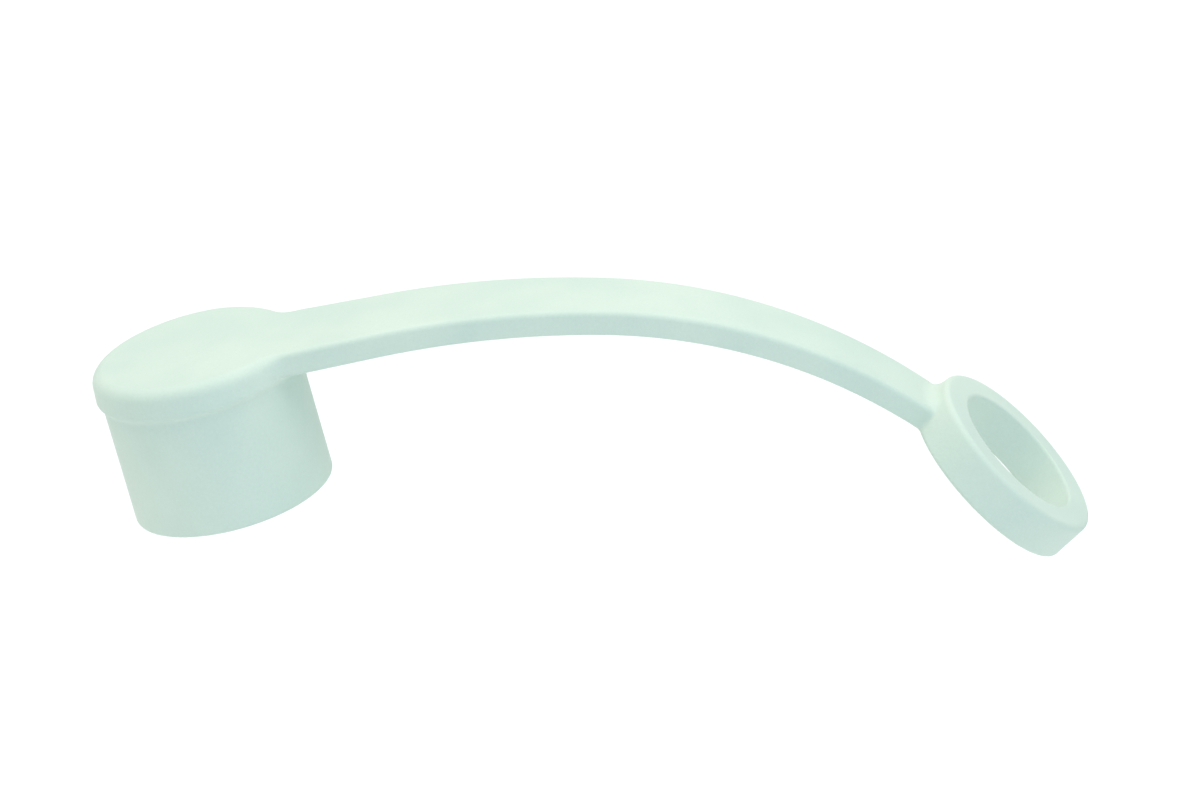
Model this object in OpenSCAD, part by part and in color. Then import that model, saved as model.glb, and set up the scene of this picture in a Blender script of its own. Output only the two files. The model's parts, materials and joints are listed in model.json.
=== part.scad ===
// Captive cap for a pour spout: a hollow cap and a retaining ring, moulded in one
// with the flexible strap between them. Millimetres, +Z up.
//
// The moulding is first described flat in its own frame: the cap's axis is x = 0,
// the lid's top is z = 0 and the strap leaves along +X, bending down as it goes.
// stand() then sets it down as it stands by itself, as a bridge on the cap's mouth
// and the ring's lower edge, with the origin at the middle of its footprint.

/* [Cap] */
// Outside diameter of the cap's barrel
barrel_d = 28; // [26:0.5:32]
// Length of the barrel below the lid
barrel_h = 17.4; // [12:0.2:24]
// Diameter of the bore that slips over the spout
cap_bore_d = 21; // [16:0.5:23]
// Diameter of the lid
lid_d = 29.2; // [28:0.1:34]
// Thickness of the lid at its rim
lid_h = 4.3; // [3.6:0.1:6]
// Radius of the lid's top edge
lid_edge_r = 0.8; // [0.2:0.1:1.5]
// Height of the chamfer that runs the lid into the barrel
lid_chamfer_h = 1.7; // [0.5:0.1:2.5]

/* [Ring] */
// Outside diameter of the retaining ring
ring_d = 27.6; // [24:0.2:32]
// Diameter of the ring's hole, which grips the neck
ring_bore_d = 19.4; // [14:0.2:22]
// Height of the ring
ring_h = 6.1; // [4.5:0.1:9]
// How much more steeply the ring hangs than the end of the strap
ring_droop = 9.4; // [0:0.2:15]

/* [Strap] */
// Thickness of the strap
strap_t = 3.5; // [2:0.1:4]
// Width of the strap where it leaves the lid
strap_w_cap = 16; // [10:0.5:20]
// Width of the strap where it meets the ring
strap_w_ring = 9.4; // [6:0.2:14]
// Length of the straight start of the strap, from the cap's axis
straight_l = 26; // [20:0.5:34]
// Radius of the strap's first, gentle bend
bend_1_r = 135; // [90:1:240]
// Angle of the first bend
bend_1_a = 13; // [5:0.5:20]
// Radius of the strap's second, tighter bend
bend_2_r = 76; // [60:1:120]
// Angle of the second bend
bend_2_a = 35.5; // [20:0.5:50]

/* [Flex] */
// How far each flexing point of the strap closes from rest
close_a = 10; // [4:0.5:12]
// Gap between two neighbouring sections of the strap
section_gap = 0.12; // [0.1:0.02:0.3]
// Length of strap that stays with the lid, from the cap's axis
flex_start = 15.5; // [15:0.1:17]
// Length of strap that stays with the ring, back from its wall
flex_end = 2.6; // [2:0.1:4]

/* [Hidden] */
$fn = 96;

MINT = [0.87, 0.94, 0.89];
PALE_MINT = [0.84, 0.92, 0.88];
DEEP_MINT = [0.78, 0.87, 0.84];

barrel_r = barrel_d / 2;
lid_r = lid_d / 2;
ring_r = ring_d / 2;
cap_h = lid_h + barrel_h;
extra = 2;  // how far a cutting shape runs past what it cuts

// The strap's middle line, by the distance s along it from the cap's axis
bend_1_s = straight_l;
bend_2_s = bend_1_s + bend_1_r * bend_1_a * PI / 180;
strap_s = bend_2_s + bend_2_r * bend_2_a * PI / 180;

function heading(s) =
    s <= bend_1_s ? 0 :
    s <= bend_2_s ? (s - bend_1_s) / bend_1_r * 180 / PI :
    bend_1_a + (s - bend_2_s) / bend_2_r * 180 / PI;
function along(a) = [cos(a), -sin(a)];
function above(a) = [sin(a), cos(a)];
function mid(s) =
    s <= bend_1_s ? [s, -strap_t / 2] :
    s <= bend_2_s ? mid(bend_1_s) + bend_1_r * [sin(heading(s)), cos(heading(s)) - 1] :
    mid(bend_2_s) + bend_2_r * (above(heading(s)) - above(bend_1_a));
function width(s) =
    strap_w_cap + (strap_w_ring - strap_w_cap) * (s - barrel_r) / (strap_s - barrel_r);

// Fourteen flexing points, evenly spaced. Two of them twist and the rest bend.
FLEX = 14;
TWISTS = [4, 9];
flex_pitch = (strap_s - flex_end - flex_start) / FLEX;
function flex_s(i) = flex_start + flex_pitch * (i + 0.5);
function twists(i) = len(search(i, TWISTS)) > 0;
function bend_before(i) = twists(i) ? i - 1 : i;
function bend_after(i) = twists(i) ? i + 1 : i;

// Direction, below the horizontal, of the straight chord between two flexing points
function chord_a(i, j) =
    let (d = mid(flex_s(j)) - mid(flex_s(i))) atan2(-d[1], d[0]);
// Direction of the section that starts at flexing point i; the strap's root is -1
function section_a(i) =
    i < 0 ? 0 :
    i == FLEX - 1 ? heading(strap_s) :
    chord_a(bend_before(i), bend_after(i + 1));
function section_start(i) =
    let (b = bend_before(i), a = section_a(i))
    mid(flex_s(b)) + along(a) * (flex_s(i) - flex_s(b));
// How much each end of a section is cut back below the axis, so that the bend can close
function cut_a(i) = twists(i) ? 0 : (section_a(i) - section_a(i - 1) + close_a) / 2 + 0.5;
// Above the axis a bend only opens as far as straight
function top_cut_a(i) = twists(i) ? 0 : 0.5;

// The ring stands up from the strap: their undersides are flush where they meet
ring_a = heading(strap_s) + ring_droop;
ring_inset = sqrt(pow(ring_r, 2) - pow(strap_w_ring / 2, 2));
ring_under = mid(strap_s) - above(heading(strap_s)) * strap_t / 2 + along(ring_a) * ring_inset;

// What touches the ground, and the lean that brings both down to it
rim_edge = [-barrel_r, -cap_h];
ring_edge = ring_under + along(ring_a) * ring_r;
lean = atan2(rim_edge[1] - ring_edge[1], ring_edge[0] - rim_edge[0]);
function stood(p) = [p[0] * cos(lean) - p[1] * sin(lean), p[0] * sin(lean) + p[1] * cos(lean)];
lid_edge = stood([lid_edge_r - lid_r, -lid_edge_r]) - [lid_edge_r, 0];
ring_tip = stood(ring_edge + above(ring_a) * ring_h);
middle_x = (lid_edge[0] + ring_tip[0]) / 2;
ground_z = stood(rim_edge)[1];

module stand() {
    translate([-middle_x, 0, -ground_z]) rotate([0, -lean, 0]) children();
}

// A frame on the middle line: local +X runs along the strap
module on_strap(p, a) {
    translate([p[0], 0, p[1]]) rotate([0, a, 0]) children();
}

module lid_shape() {
    core_r = lid_r - lid_edge_r;
    wall_h = lid_h - lid_chamfer_h - lid_edge_r;
    rotate_extrude() {
        translate([0, -lid_edge_r]) square([core_r, lid_edge_r]);
        intersection() {
            translate([core_r, -lid_edge_r]) circle(r = lid_edge_r);
            translate([0, -lid_edge_r]) square([lid_r, lid_edge_r]);
        }
        translate([0, -lid_edge_r - wall_h]) square([lid_r, wall_h]);
        polygon([
            [0, -lid_h], [barrel_r, -lid_h],
            [lid_r, lid_chamfer_h - lid_h], [0, lid_chamfer_h - lid_h]
        ]);
    }
}

module lid() {
    color(MINT) stand() lid_shape();
}

module barrel() {
    color(DEEP_MINT) stand() translate([0, 0, -cap_h]) difference() {
        cylinder(r = barrel_r, h = barrel_h);
        translate([0, 0, -extra]) cylinder(d = cap_bore_d, h = barrel_h + 2 * extra);
    }
}

// A flat, tapering length of strap in its own frame, with each end cut back from its axis
module strip(l, w0, w1, cut0, cut1, top0, top1) {
    g = section_gap / 2;
    half = strap_t / 2;
    intersection() {
        rotate([90, 0, 0]) linear_extrude(height = 2 * strap_w_cap, center = true)
            polygon([
                [g, 0], [g + half * tan(cut0), -half],
                [l - g - half * tan(cut1), -half], [l - g, 0],
                [l - g - half * tan(top1), half], [g + half * tan(top0), half]
            ]);
        linear_extrude(height = 2 * strap_t, center = true)
            polygon([[0, w0 / 2], [0, -w0 / 2], [l, -w1 / 2], [l, w1 / 2]]);
    }
}

module strap_root() {
    s = flex_s(0);
    color(MINT) stand() difference() {
        translate([0, 0, -strap_t / 2])
            strip(s, width(0), width(s), 0, cut_a(0), 0, top_cut_a(0));
        lid_shape();
    }
}

module strap_section(i) {
    from = section_start(i);
    to = section_start(i + 1);
    color(i % 2 == 0 ? PALE_MINT : MINT) stand() on_strap(from, section_a(i))
        strip(
            norm(to - from), width(flex_s(i)), width(flex_s(i + 1)),
            cut_a(i), cut_a(i + 1), top_cut_a(i), top_cut_a(i + 1)
        );
}

module strap_neck() {
    last = FLEX - 1;
    l = strap_s - flex_s(last) + strap_t;
    color(MINT) stand() difference() {
        on_strap(mid(flex_s(last)), section_a(last))
            strip(l, width(flex_s(last)), strap_w_ring, cut_a(last), 0, top_cut_a(last), 0);
        on_strap(ring_under, ring_a)
            translate([0, 0, -extra]) cylinder(r = ring_r, h = ring_h + 2 * extra);
    }
}

module ring() {
    color(PALE_MINT) stand() on_strap(ring_under, ring_a) difference() {
        cylinder(r = ring_r, h = ring_h);
        translate([0, 0, -extra]) cylinder(d = ring_bore_d, h = ring_h + 2 * extra);
    }
}

lid();
barrel();
strap_root();
strap_section(0);  // strap_section_01
strap_section(1);  // strap_section_02
strap_section(2);  // strap_section_03
strap_section(3);  // strap_section_04
strap_section(4);  // strap_section_05
strap_section(5);  // strap_section_06
strap_section(6);  // strap_section_07
strap_section(7);  // strap_section_08
strap_section(8);  // strap_section_09
strap_section(9);  // strap_section_10
strap_section(10);  // strap_section_11
strap_section(11);  // strap_section_12
strap_section(12);  // strap_section_13
strap_neck();
ring();
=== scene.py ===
# %% [markdown]
# # A captive cap for a pour spout
# A bar pourer is closed by a soft cap that can't get lost: the cap, a flexible strap and the
# ring that holds it to the neck come out of one mould, in one pale mint rubber. This lesson
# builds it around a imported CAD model. The CAD model says where everything is and how it
# moves, and Blender makes what the eye sees: soft edges, fillets, and a moulded skin.

# %% Load the frame
import json
import math

import bmesh
import bpy
from mathutils import Matrix, Vector


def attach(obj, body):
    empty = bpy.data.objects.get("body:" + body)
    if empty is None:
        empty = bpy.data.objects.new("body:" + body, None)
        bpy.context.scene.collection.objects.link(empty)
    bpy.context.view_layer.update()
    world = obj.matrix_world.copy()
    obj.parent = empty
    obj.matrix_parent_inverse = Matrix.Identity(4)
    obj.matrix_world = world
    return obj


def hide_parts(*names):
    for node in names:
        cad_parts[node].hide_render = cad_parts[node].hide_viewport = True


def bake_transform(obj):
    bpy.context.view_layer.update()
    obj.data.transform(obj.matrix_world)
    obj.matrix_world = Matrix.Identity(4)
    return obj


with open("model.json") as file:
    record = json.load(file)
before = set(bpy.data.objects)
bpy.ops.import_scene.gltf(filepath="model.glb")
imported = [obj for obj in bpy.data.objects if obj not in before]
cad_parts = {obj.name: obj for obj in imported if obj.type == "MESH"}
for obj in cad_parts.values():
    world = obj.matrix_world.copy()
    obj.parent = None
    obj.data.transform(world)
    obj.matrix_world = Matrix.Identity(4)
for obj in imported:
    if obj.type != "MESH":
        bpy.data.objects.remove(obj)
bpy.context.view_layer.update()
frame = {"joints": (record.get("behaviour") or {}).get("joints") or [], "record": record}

scene = bpy.context.scene
MM = 0.001

# %% [markdown]
# ## The sizes of the moulding
# A mould maker draws this part flat and square: the cap's axis upright, the top of the lid at
# height zero and the strap leaving sideways. The same frame is used here. The strap's middle
# line is a straight length and two arcs, so any place on it is one number, the distance `s`
# from the cap's axis.

# %% Driving sizes, in metres
BARREL_R, BARREL_H = 14.0 * MM, 17.4 * MM
CAP_BORE_R = 10.5 * MM
LID_R, LID_H = 14.6 * MM, 4.3 * MM
RING_R, RING_BORE_R, RING_H = 13.8 * MM, 9.7 * MM, 6.1 * MM
RING_DROOP = math.radians(9.4)
STRAP_T = 3.5 * MM
STRAP_W_CAP, STRAP_W_RING = 16.0 * MM, 9.4 * MM
STRAIGHT_L = 26.0 * MM
BEND_1_R, BEND_1_A = 135.0 * MM, math.radians(13.0)
BEND_2_R, BEND_2_A = 76.0 * MM, math.radians(35.5)
FLEX_START, FLEX_END = 15.5 * MM, 2.6 * MM
STRAP_TOP_EDGE_R, STRAP_UNDER_EDGE_R = 0.85 * MM, 0.35 * MM
CAP_H = LID_H + BARREL_H
BEND_2_S = STRAIGHT_L + BEND_1_R * BEND_1_A
STRAP_S = BEND_2_S + BEND_2_R * BEND_2_A
NECK_S = STRAP_S - FLEX_END
TAPER = (STRAP_W_RING - STRAP_W_CAP) / (STRAP_S - BARREL_R)
print(f"strap: {STRAP_S / MM:.1f} mm from the cap's axis to the ring's wall")

# %% [markdown]
# ## From the moulding's frame to the standing part
# The part stands by itself as a bridge, leaning on the edge of its mouth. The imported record
# says where the cap's bore is and which way it points, and that is all that is needed to
# carry the moulding's frame to the row frame. The ring's bore gives its frame the same way.

# %% Frames of the cap and the ring
mounts = {m["name"]: m for m in frame["record"]["mounts"]}


def frame_at(origin, up):
    """A frame in the plane of symmetry, with +Z along up and +X towards the ring."""
    side = Vector((up.z, 0, -up.x))
    across = Vector((0, 1, 0))
    turned = Matrix((side, across, up)).transposed().to_4x4()
    return Matrix.Translation(origin) @ turned


mouth = mounts["cap_bore"]
cap_up = -Vector(mouth["axis"]).normalized()
STAND = frame_at(Vector(mouth["pos_m"]) + cap_up * CAP_H, cap_up)
hole = mounts["ring_bore"]
ring_up = Vector(hole["axis"]).normalized()
RING_STAND = frame_at(Vector(hole["pos_m"]) - ring_up * RING_H / 2, ring_up)


def middle(s):
    """The strap's middle line at distance s, in the row frame."""
    turn_1 = min(max(s - STRAIGHT_L, 0), BEND_2_S - STRAIGHT_L) / BEND_1_R
    past = max(s - BEND_2_S, 0) / BEND_2_R + BEND_1_A
    x = min(s, STRAIGHT_L) + BEND_1_R * math.sin(turn_1)
    x += BEND_2_R * (math.sin(past) - math.sin(BEND_1_A))
    z = BEND_1_R * (math.cos(turn_1) - 1) + BEND_2_R * (math.cos(past) - math.cos(BEND_1_A))
    return STAND @ Vector((x, 0, z - STRAP_T / 2))


# a soft strap never lies quite square: its far end is twisted a little, and so is the ring
TWIST = math.radians(-1.0)
neck_way = (middle(STRAP_S) - middle(NECK_S)).normalized()
neck = Matrix.Translation(middle(NECK_S))
RING_STAND = neck @ Matrix.Rotation(TWIST, 4, neck_way) @ neck.inverted() @ RING_STAND
print(f"the cap leans {math.degrees(math.acos(cap_up.z)):.1f} degrees")
print(f"the ring leans {math.degrees(math.acos(ring_up.z)):.1f} degrees")

# %% [markdown]
# ## Camera
# A long lens from far away, a little above the part, shows it almost without perspective.
# It is made first, so that every later step can be looked at.

# %% Camera
AIM = Vector((0.64, 0, 18.91)) * MM
CAMERA_TURN, CAMERA_RISE = math.radians(5.1), math.radians(23.8)
CAMERA_FAR = 950 * MM
back = Vector((
    math.sin(CAMERA_TURN) * math.cos(CAMERA_RISE),
    -math.cos(CAMERA_TURN) * math.cos(CAMERA_RISE),
    math.sin(CAMERA_RISE),
))
camera = bpy.data.objects.new("camera", bpy.data.cameras.new("camera"))
camera.data.sensor_width, camera.data.lens = 36.0, 211.0
camera.location = AIM + back * CAMERA_FAR
camera.rotation_euler = (-back).to_track_quat("-Z", "Y").to_euler()
scene.collection.objects.link(camera)
scene.camera = camera
print("camera at, mm:", [round(v / MM) for v in camera.location])

# %% [markdown]
# ## Floor and light
# Pale soft goods are shown on white under broad, soft light. The floor lies well below the
# part, because the cap and the ring swing below their standing height when the strap is
# folded, and a floor at the part's feet would hide them. The light comes mostly from
# overhead, a little warm, with cooler light from all round, so upright walls go bluish.

# %% Floor, lights and world
FLOOR_DROP, FLOOR_HALF = 60 * MM, 4.0
scene.view_settings.view_transform = "Standard"
floor_mesh = bpy.data.meshes.new("floor")
corners = ((-1, -1), (1, -1), (1, 1), (-1, 1))
floor_mesh.from_pydata(
    [(x * FLOOR_HALF, y * FLOOR_HALF, -FLOOR_DROP) for x, y in corners],
    [],
    [(0, 1, 2, 3)],
)
floor = bpy.data.objects.new("floor", floor_mesh)
scene.collection.objects.link(floor)
paint = bpy.data.materials.new("white_sweep")
paint.use_nodes = True
paint_shader = paint.node_tree.nodes["Principled BSDF"]
paint_shader.inputs["Base Color"].default_value = (0.9, 0.9, 0.9, 1)
paint_shader.inputs["Roughness"].default_value = 1.0
floor_mesh.materials.append(paint)

world = bpy.data.worlds.new("studio")
world.use_nodes = True
world.node_tree.nodes["Background"].inputs["Color"].default_value = (0.83, 0.96, 1.0, 1)
world.node_tree.nodes["Background"].inputs["Strength"].default_value = 0.70
scene.world = world


def soft_box(name, place, size, power, colour):
    """A square area light that faces the part, and that the camera doesn't see."""
    lamp = bpy.data.lights.new(name, "AREA")
    lamp.shape, lamp.size = "SQUARE", size
    lamp.energy, lamp.color = power, colour
    box = bpy.data.objects.new(name, lamp)
    box.location = place
    box.rotation_euler = (-Vector(place)).to_track_quat("-Z", "Y").to_euler()
    box.visible_camera = False
    scene.collection.objects.link(box)


soft_box("overhead", (0, 0, 1.2), 1.4, 11.8, (1.0, 0.92, 0.89))
soft_box("left_high", (-1.1, 0.1, 1.0), 0.9, 2.8, (1.0, 0.85, 0.62))
soft_box("right_high", (1.1, 0.1, 1.0), 0.9, 1.4, (1.0, 0.90, 0.75))
soft_box("front_fill", (0.7, -1.3, 0.3), 0.9, 3.2, (0.25, 0.60, 1.0))

# %% [markdown]
# ## Maths on sockets
# Geometry Nodes and shaders share their Math nodes. Written one node at a time, a formula
# gets lost, so one small class holds a socket and lets Python's operators add the nodes:
# `1 - mask * 0.2` is then two Math nodes. Any other node comes from `Maker.node`.

# %% A socket that Python can do maths on
class Socket:
    """An output socket. Its operators add Math nodes to the same tree."""

    def __init__(self, maker, socket):
        self.maker, self.socket = maker, socket

    def math(self, operation, *values):
        return self.maker.node("ShaderNodeMath", {"operation": operation}, enumerate(values))

    def __add__(self, other):
        return self.math("ADD", self, other)

    def __radd__(self, other):
        return self.math("ADD", other, self)

    def __sub__(self, other):
        return self.math("SUBTRACT", self, other)

    def __rsub__(self, other):
        return self.math("SUBTRACT", other, self)

    def __mul__(self, other):
        return self.math("MULTIPLY", self, other)

    def __rmul__(self, other):
        return self.math("MULTIPLY", other, self)

    def __truediv__(self, other):
        return self.math("DIVIDE", self, other)

    def __rtruediv__(self, other):
        return self.math("DIVIDE", other, self)

    def __neg__(self):
        return self.math("MULTIPLY", self, -1.0)

    def __abs__(self):
        return self.math("ABSOLUTE", self)

    def low(self, other):
        return self.math("MINIMUM", self, other)

    def high(self, other):
        return self.math("MAXIMUM", self, other)

    def between(self, lowest, highest):
        return self.high(lowest).low(highest)

    def sin(self):
        return self.math("SINE", self)

    def cos(self):
        return self.math("COSINE", self)

    def step(self, start, end):
        """0 before start, 1 after end, and smooth between them."""
        t = ((self - start) / (end - start)).between(0.0, 1.0)
        return t * t * (3.0 - 2.0 * t)


def length(x, y):
    """The length of a flat vector of two sockets."""
    return x.math("SQRT", x * x + y * y)


class Maker:
    """A node tree, and the one method that adds a node of any type to it."""

    def __init__(self, tree):
        self.tree = tree

    def node(self, kind, settings=None, sockets=(), out=0):
        made = self.tree.nodes.new(kind)
        for name, value in (settings or {}).items():
            if name == "stops":
                ramp = made.color_ramp.elements
                while len(ramp) < len(value):
                    ramp.new(0.5)
                for stop, (place, colour) in zip(ramp, value):
                    stop.position, stop.color = place, colour
            else:
                setattr(made, name, value)
        pairs = sockets.items() if isinstance(sockets, dict) else sockets
        for name, value in pairs:
            if isinstance(value, Socket):
                self.tree.links.new(value.socket, made.inputs[name])
            else:
                made.inputs[name].default_value = value
        return Socket(self, made.outputs[out])

    def parts(self, vector):
        """The x, y and z of a vector socket."""
        split = self.node("ShaderNodeSeparateXYZ", {}, {0: vector}).socket.node
        return [Socket(self, s) for s in split.outputs]

    def vector(self, x, y, z):
        return self.node("ShaderNodeCombineXYZ", {}, enumerate((x, y, z)))

    def vector_math(self, operation, *values, out=0):
        settings = {"operation": operation}
        return self.node("ShaderNodeVectorMath", settings, enumerate(values), out)

    def scaled(self, vector, factor):
        settings = {"operation": "SCALE"}
        return self.node("ShaderNodeVectorMath", settings, {0: vector, "Scale": factor})


KINDS = {
    "Float": "NodeSocketFloat",
    "Int": "NodeSocketInt",
    "Vector": "NodeSocketVector",
    "Geometry": "NodeSocketGeometry",
    "Material": "NodeSocketMaterial",
}


def new_tree(name, inputs, outputs):
    """A Geometry Nodes tree with named inputs. Returns its maker and {input name: socket}."""
    tree = bpy.data.node_groups.new(name, "GeometryNodeTree")
    for title, kind, value in inputs:
        made = tree.interface.new_socket(title, in_out="INPUT", socket_type=KINDS[kind])
        if value is not None:
            made.default_value = value
    for title, kind in outputs:
        tree.interface.new_socket(title, in_out="OUTPUT", socket_type=KINDS[kind])
    maker = Maker(tree)
    entry = tree.nodes.new("NodeGroupInput")
    return maker, {s.name: Socket(maker, s) for s in entry.outputs if s.name}


def end_tree(maker, **values):
    """Links the tree's outputs, by name."""
    exit_node = maker.tree.nodes.new("NodeGroupOutput")
    for title, value in values.items():
        maker.tree.links.new(value.socket, exit_node.inputs[title])
    return maker.tree


print("maths helpers are ready")

# %% [markdown]
# ## The skin
# Moulded silicone is matt and a little milky. Its colour is never quite even: the
# pigment clouds slowly across it, thin grains of filler show close up, and the mould's own
# blasted finish leaves a fine, shallow texture that breaks up the light. All of it is made
# from Object coordinates. Every piece sits at the origin, so a pattern runs on from one
# piece of the strap to the next with no seam.

# %% Material: moulded silicone
CLOUD_COLOURS = [(0.35, (0.563, 0.673, 0.590, 1)), (0.65, (0.607, 0.708, 0.616, 1))]


def moulded_silicone():
    material = bpy.data.materials.new("moulded_silicone")
    material.use_nodes = True
    maker = Maker(material.node_tree)
    shader = material.node_tree.nodes["Principled BSDF"]
    where = maker.node("ShaderNodeTexCoord", out=3)

    def noise(per_metre, detail, roughness):
        sizes = {"Vector": where, "Scale": per_metre, "Detail": detail, "Roughness": roughness}
        return maker.node("ShaderNodeTexNoise", {"noise_dimensions": "3D"}, sizes)

    clouds = noise(70.0, 2.0, 0.5)
    grain = noise(2600.0, 3.0, 0.6)
    blast = noise(5200.0, 2.0, 0.5)
    waves = noise(260.0, 1.0, 0.4)
    colour = maker.node(
        "ShaderNodeValToRGB", {"stops": CLOUD_COLOURS}, {"Fac": clouds}
    )
    speckle = (grain - 0.5) * 0.10
    tone = maker.node("ShaderNodeCombineColor", {}, enumerate([1.0 + speckle] * 3))
    tinted = maker.node(
        "ShaderNodeMix",
        {"data_type": "RGBA", "blend_type": "MULTIPLY"},
        {0: 1.0, 6: colour, 7: tone},
        out=2,
    )
    gloss = 0.56 + (grain - 0.5) * 0.18 + (clouds - 0.5) * 0.12
    height = blast * 0.6 + grain * 0.4 + waves * 2.5
    bump = maker.node(
        "ShaderNodeBump", {}, {"Strength": 0.35, "Distance": 0.00004, "Height": height}
    )
    links = material.node_tree.links
    links.new(tinted.socket, shader.inputs["Base Color"])
    links.new(gloss.socket, shader.inputs["Roughness"])
    links.new(bump.socket, shader.inputs["Normal"])
    shader.inputs["IOR"].default_value = 1.41
    shader.inputs["Sheen Weight"].default_value = 0.05
    shader.inputs["Sheen Roughness"].default_value = 0.5
    return material


SILICONE = moulded_silicone()
print("material:", SILICONE.name, "with", len(SILICONE.node_tree.nodes), "nodes")

# %% [markdown]
# ## The strap
# One rule makes the whole strap: a rounded rectangle, wide at the cap and narrower at the
# ring, carried along a straight length and two arcs. A Geometry Nodes tree does it by
# bending a plain tube. Each point of the tube has an angle, which says where it is on the
# rounded rectangle, and a height, which says how far along the strap it is. The same tree
# makes every length of the strap, from its Start to its End.

# %% The tree that makes a length of strap
# so steep a slope makes any point off an axis of the tube lie fully to one side of it
STEEP = 1000.0


def strap_tree():
    maker, given = new_tree(
        "strap_length",
        [
            ("Start", "Float", 0.0),
            ("End", "Float", 0.01),
            ("Rings", "Int", 16),
            ("Around", "Int", 64),
            ("Top Edge Radius", "Float", STRAP_TOP_EDGE_R),
            ("Under Edge Radius", "Float", STRAP_UNDER_EDGE_R),
            ("Twist", "Float", TWIST),
            ("Material", "Material", None),
        ],
        [("Geometry", "Geometry")],
    )
    tube = maker.node(
        "GeometryNodeMeshCylinder",
        {"fill_type": "NGON"},
        {"Vertices": given["Around"], "Side Segments": given["Rings"], "Radius": 1.0, "Depth": 1.0},
    )
    x, y, z = maker.parts(maker.node("GeometryNodeInputPosition"))
    s = given["Start"] + (z + 0.5) * (given["End"] - given["Start"])

    # the rounded rectangle: each quarter turn goes round one corner
    edge_step = y.step(-0.01, 0.01)
    edge = given["Under Edge Radius"] * (1.0 - edge_step)
    edge = edge + given["Top Edge Radius"] * edge_step
    turn = x.math("ARCTAN2", abs(y), abs(x))
    step = 2 * math.pi / given["Around"]
    corner = ((turn - step) / (math.pi / 2 - 2 * step)).between(0.0, 1.0) * (math.pi / 2)
    half_w = (STRAP_W_CAP + TAPER * (s - BARREL_R)) / 2
    # a point on an axis of the tube is in the middle of a flat side
    side = (x * STEEP).between(-1.0, 1.0)
    rise = (y * STEEP).between(-1.0, 1.0)
    across = side * (half_w - edge + edge * corner.cos())
    up = rise * (STRAP_T / 2 - edge + edge * corner.sin())
    twist = given["Twist"] * s / NECK_S
    across, up = (
        across * twist.cos() - up * twist.sin(),
        across * twist.sin() + up * twist.cos(),
    )

    # the middle line: a straight length and two arcs
    turn_1 = (s - STRAIGHT_L).between(0.0, BEND_2_S - STRAIGHT_L) / BEND_1_R
    turn_2 = (s - BEND_2_S).high(0.0) / BEND_2_R
    heading = turn_1 + turn_2
    past = turn_2 + BEND_1_A
    mid_x = s.low(STRAIGHT_L) + BEND_1_R * turn_1.sin()
    mid_x = mid_x + BEND_2_R * (past.sin() - math.sin(BEND_1_A))
    mid_z = BEND_1_R * (turn_1.cos() - 1.0) + BEND_2_R * (past.cos() - math.cos(BEND_1_A))
    place = maker.vector(
        mid_x + up * heading.sin(), across, mid_z - STRAP_T / 2 + up * heading.cos()
    )
    shaped = maker.node("GeometryNodeSetPosition", {}, {"Geometry": tube, "Position": place})
    real = maker.node("GeometryNodeRealizeInstances", {}, {"Geometry": shaped})
    painted = maker.node(
        "GeometryNodeSetMaterial", {}, {"Geometry": real, "Material": given["Material"]}
    )
    return end_tree(maker, Geometry=painted)


STRAP_TREE = strap_tree()
print("strap tree:", len(STRAP_TREE.nodes), "nodes")

# %% Turning a tree into a plain mesh
def made_by(tree, name, values, stand):
    """Runs a tree with these inputs, carries the mesh to the row frame, and drops the modifier."""
    empty_mesh = bpy.data.meshes.new(name)
    holder = bpy.data.objects.new(name, empty_mesh)
    scene.collection.objects.link(holder)
    modifier = holder.modifiers.new("shape", "NODES")
    modifier.node_group = tree
    for item in tree.interface.items_tree:
        if item.item_type == "SOCKET" and item.in_out == "INPUT" and item.name in values:
            modifier[item.identifier] = values[item.name]
    graph = bpy.context.evaluated_depsgraph_get()
    mesh = bpy.data.meshes.new_from_object(holder.evaluated_get(graph))
    holder.modifiers.remove(modifier)
    holder.data = mesh
    bpy.data.meshes.remove(empty_mesh)
    mesh.name = name
    mesh.transform(stand)
    return holder


def finish_skin(piece):
    """Faces outwards, smooth sides, and a crisp edge round each flat end."""
    work = bmesh.new()
    work.from_mesh(piece.data)
    bmesh.ops.remove_doubles(work, verts=work.verts, dist=1e-7)
    bmesh.ops.recalc_face_normals(work, faces=work.faces)
    for face in work.faces:
        face.smooth = True
    for face in work.faces:
        if len(face.verts) > 4:
            face.smooth = False
            for edge in face.edges:
                edge.smooth = False
    open_edges = sum(not e.is_manifold for e in work.edges)
    work.to_mesh(piece.data)
    work.free()
    triangles = sum(len(p.vertices) - 2 for p in piece.data.polygons)
    print(f"{piece.name}: {triangles} triangles, {open_edges} open edges")


# %% [markdown]
# A length of strap is made for each joint. It starts in the middle of one rigid section,
# crosses the joint, and ends in the middle of the next section. Neighbours therefore meet
# on the same cut.

# %% Make the strap, one length for each joint
joints = frame["joints"]
FLEX = len(joints)
PITCH = (NECK_S - FLEX_START) / FLEX
# Which of a blend's two bodies is named first makes no difference to the shape, only to how
# the rounding of a pose's numbers grows. On a strap that is bent and twisted at once it can
# grow to millimetres. These joints are listed to be named from the ring's side, but no blend
# is made here: the two branches below only call middle() in a different order and keep nothing.
BLENDED_FROM_RING = ("strap_bend_01", "strap_bend_05", "strap_bend_08")
from_cap = sorted(joints, key=lambda j: j["pos_m"][0])
for number, joint in enumerate(from_cap):
    start = FLEX_START + PITCH * number
    sizes = {"Start": start, "End": start + PITCH, "Material": SILICONE}
    piece = made_by(STRAP_TREE, f"strap_skin_{number + 1:02d}", sizes, STAND)
    finish_skin(piece)
    if joint["name"] in BLENDED_FROM_RING:
        middle(start + PITCH)
        middle(start)
        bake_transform(piece)
    else:
        middle(start)
        middle(start + PITCH)
        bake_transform(piece)
    if number:
        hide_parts(f"strap_section_{number:02d}")

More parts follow.
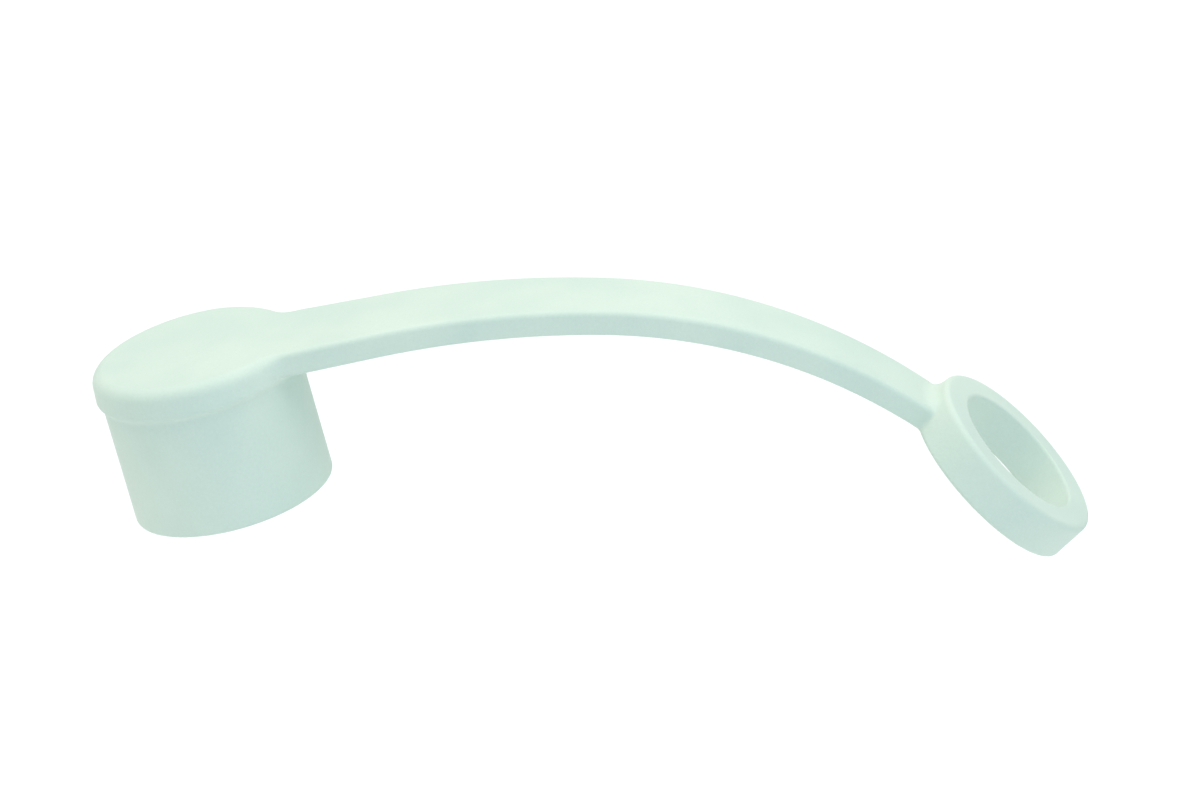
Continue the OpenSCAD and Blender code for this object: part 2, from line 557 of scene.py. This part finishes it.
# %% [markdown]
# ## The cap and the ring
# These are solids of revolution that run softly into the strap. A modeller could cut and
# bevel them, but a soft fillet between a round wall and a strap is where bevels break.
# Instead each is described by one formula, its distance: negative inside the rubber, zero
# on its skin and positive outside. Two shapes join with a fillet when the smaller of their
# distances is taken softly. Geometry Nodes fills a volume with the formula, turns
# it into a mesh, and then moves each point along the slope until it lies exactly on the skin.

# %% Shared formulas
# how far the slope's samples are from the point, how many times the points are moved on to the
# skin, and the least squared steepness that a move is divided by
REACH, PASSES, LEAST_SQUARED = 0.02 * MM, 2, 0.25


def soft_join(a, b, fillet):
    """The smaller of two distances, with a fillet where they meet."""
    near = (fillet - abs(a - b)).high(0.0) / fillet
    return a.low(b) - near * near * fillet / 4


def rounded(a, b, radius):
    """Inside both distances, with the edge between them rounded."""
    over_a, over_b = a + radius, b + radius
    return over_a.high(over_b).low(0.0) + length(over_a.high(0.0), over_b.high(0.0)) - radius


def body_tree(name, shape):
    """A tree that meshes a shape, given as a function of a maker and a point."""
    inner, given = new_tree(
        name + "_distance", [("Point", "Vector", None)], [("Distance", "Float")]
    )
    distance_tree = end_tree(inner, Distance=shape(inner, given["Point"]))
    maker, given = new_tree(
        name,
        [
            ("Lowest", "Vector", None),
            ("Highest", "Vector", None),
            ("Across X", "Int", 64),
            ("Across Y", "Int", 64),
            ("Across Z", "Int", 64),
            ("Material", "Material", None),
        ],
        [("Geometry", "Geometry")],
    )

    def distance(point):
        return maker.node("GeometryNodeGroup", {"node_tree": distance_tree}, {0: point})

    here = maker.node("GeometryNodeInputPosition")
    volume = maker.node(
        "GeometryNodeVolumeCube",
        {},
        {
            "Density": -distance(here) / MM,
            "Background": -10.0,
            "Min": given["Lowest"],
            "Max": given["Highest"],
            "Resolution X": given["Across X"],
            "Resolution Y": given["Across Y"],
            "Resolution Z": given["Across Z"],
        },
    )
    mesh = maker.node(
        "GeometryNodeVolumeToMesh",
        {"resolution_mode": "GRID"},
        {"Volume": volume, "Threshold": 0.0, "Adaptivity": 0.0},
    )
    axis_steps = [tuple(REACH * (k == axis) for k in range(3)) for axis in range(3)]
    for _ in range(PASSES):
        slope = maker.vector(*(
            (
                distance(maker.vector_math("ADD", here, axis_step))
                - distance(maker.vector_math("SUBTRACT", here, axis_step))
            ) / (2 * REACH)
            for axis_step in axis_steps
        ))
        squared = maker.vector_math("DOT_PRODUCT", slope, slope, out=1).high(LEAST_SQUARED)
        offset = maker.scaled(slope, -distance(here) / squared)
        mesh = maker.node("GeometryNodeSetPosition", {}, {"Geometry": mesh, "Offset": offset})
    real = maker.node("GeometryNodeRealizeInstances", {}, {"Geometry": mesh})
    painted = maker.node(
        "GeometryNodeSetMaterial", {}, {"Geometry": real, "Material": given["Material"]}
    )
    return end_tree(maker, Geometry=painted)


def meshed(tree, name, lowest, highest, voxel, stand):
    """Runs a body tree over a box, in the moulding's own frame."""
    across = [round((b - a) / voxel) + 1 for a, b in zip(lowest, highest)]
    sizes = {"Lowest": lowest, "Highest": highest, "Material": SILICONE}
    sizes |= {f"Across {axis}": count for axis, count in zip("XYZ", across)}
    return made_by(tree, name, sizes, stand)


def cut_at(piece, s, towards_ring):
    """Cuts a piece square across the strap at distance s and closes the cut."""
    here = middle(s)
    along = (middle(s + MM / 10) - middle(s - MM / 10)).normalized()
    work = bmesh.new()
    work.from_mesh(piece.data)
    cut = bmesh.ops.bisect_plane(
        work,
        geom=[*work.verts, *work.edges, *work.faces],
        plane_co=here,
        plane_no=along if towards_ring else -along,
        clear_outer=True,
        dist=1e-7,
    )
    rim = [e for e in cut["geom_cut"] if isinstance(e, bmesh.types.BMEdge)]
    bmesh.ops.contextual_create(work, geom=rim)
    work.to_mesh(piece.data)
    work.free()


print("formulas are ready")

# %% [markdown]
# The cap is turned about its axis. The lid's wall has the mould's draft, a little wider at
# its lower edge, where a chamfer takes it in to the barrel. The strap's walls join the lid
# with a fillet in plan, and one flat top with a rounded edge closes them both, so lid and
# strap are flush. The bore is then taken out, with a soft mouth and a rounded blind end.

# %% The cap's formula
LID_TOP_EDGE_R, LID_DRAFT, LID_CROWN = 1.7 * MM, math.radians(3.5), 0.4 * MM
MOUTH_EDGE_R, BORE_END_R = 0.4 * MM, 1.2 * MM
PLAN_FILLET, UNDER_FILLET = 1.9 * MM, 0.35 * MM
CHAMFER_EDGE_R = 0.25 * MM
# the plan fillet grows between these heights, and the lid's edge turns into the strap's
# between these distances from the axis
FILLET_LOW, FILLET_HIGH = -3.4 * MM, -2.4 * MM
STRAP_EDGE_START, STRAP_EDGE_END = 10.0 * MM, 15.0 * MM
CAP_LOWEST = (-15.9 * MM, -15.9 * MM, -22.7 * MM)
CAP_HIGHEST = (17.4 * MM, 15.9 * MM, 1.0 * MM)


def cap_shape(maker, point):
    x, y, z = maker.parts(point)
    r = length(x, y)
    drafted = (r - LID_R) * math.cos(LID_DRAFT) + (z + LID_H / 2) * math.sin(LID_DRAFT)
    chamfer = (r - z - (BARREL_R + LID_H)) * math.sqrt(0.5)
    lid = rounded(drafted, chamfer, CHAMFER_EDGE_R)
    half_w = (STRAP_W_CAP + TAPER * (x - BARREL_R)) / 2
    strap = rounded(abs(y) - half_w, -z - STRAP_T, STRAP_UNDER_EDGE_R)
    strap = strap.high(-x)
    fillet = UNDER_FILLET + (PLAN_FILLET - UNDER_FILLET) * z.step(FILLET_LOW, FILLET_HIGH)
    plate = soft_join(lid, strap, fillet)
    walls = soft_join(plate, r - BARREL_R, UNDER_FILLET)
    on_strap = x.step(STRAP_EDGE_START, STRAP_EDGE_END)
    edge = LID_TOP_EDGE_R - (LID_TOP_EDGE_R - STRAP_TOP_EDGE_R) * on_strap
    crown = LID_CROWN * (1.0 - x.step(0.0, STRAP_EDGE_END))
    topped = rounded(walls, z - crown, edge)
    solid = rounded(topped, -z - CAP_H, MOUTH_EDGE_R)
    bore = rounded(r - CAP_BORE_R, z + LID_H, BORE_END_R)
    # what is left is inside the solid and outside the bore
    return -soft_join(-solid, bore, MOUTH_EDGE_R * 2)


CAP_TREE = body_tree("cap_body", cap_shape)
VOXEL = 0.3 * MM
cap = meshed(CAP_TREE, "cap_skin", CAP_LOWEST, CAP_HIGHEST, VOXEL, STAND)
cut_at(cap, FLEX_START, True)
finish_skin(cap)
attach(cap, "cap")
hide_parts("lid", "barrel", "strap_root")

# %% [markdown]
# The ring is a rounded square section turned about its axis. The last of the strap comes in
# low on its outer wall, still bending. A fillet runs the strap's top up the wall, and dies
# out at the strap's edges, where its sides meet the wall in a crease.

# %% The ring's formula
RING_TOP_EDGE_R, RING_UNDER_EDGE_R, RING_HOLE_EDGE_R = 0.8 * MM, 0.35 * MM, 0.35 * MM
NECK_FILLET, NECK_CREASE = 2.0 * MM, 0.3 * MM
# between these distances in from the strap's edge the crease grows into the full fillet, and
# the strap runs this far into the ring's wall
CREASE_IN, FILLET_IN = -0.1 * MM, 1.6 * MM
STRAP_OVERLAP = 1.5 * MM
RING_LOWEST = (-19.0 * MM, -14.8 * MM, -2.0 * MM)
RING_HIGHEST = (14.8 * MM, 14.8 * MM, 7.2 * MM)
ring_inset = math.sqrt(RING_R**2 - (STRAP_W_RING / 2) ** 2)


def ring_shape(maker, point):
    x, y, z = maker.parts(point)
    r = length(x, y)
    ring = rounded(r - RING_R, z - RING_H, RING_TOP_EDGE_R)
    ring = rounded(ring, -z, RING_UNDER_EDGE_R)
    ring = rounded(ring, RING_BORE_R - r, RING_HOLE_EDGE_R)
    # the end of the strap, in a frame that follows its last direction
    from_end = x + ring_inset
    along = from_end * math.cos(RING_DROOP) + z * math.sin(RING_DROOP)
    above = z * math.cos(RING_DROOP) - from_end * math.sin(RING_DROOP) - STRAP_T / 2
    above = above + along * along / (2 * BEND_2_R)
    half_w = (STRAP_W_RING + TAPER * along) / 2
    strap = rounded(abs(y) - half_w, above - STRAP_T / 2, STRAP_TOP_EDGE_R)
    strap = rounded(strap, -above - STRAP_T / 2, STRAP_UNDER_EDGE_R)
    strap = strap.high(along - STRAP_OVERLAP)
    on_top = (half_w - abs(y)).step(CREASE_IN, FILLET_IN) * above.step(0.0, STRAP_T / 2)
    return soft_join(ring, strap, NECK_CREASE + (NECK_FILLET - NECK_CREASE) * on_top)


RING_TREE = body_tree("ring_body", ring_shape)
ring = meshed(RING_TREE, "ring_skin", RING_LOWEST, RING_HIGHEST, VOXEL, RING_STAND)
cut_at(ring, NECK_S, False)
finish_skin(ring)
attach(ring, "ring")
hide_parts("ring", "strap_neck")
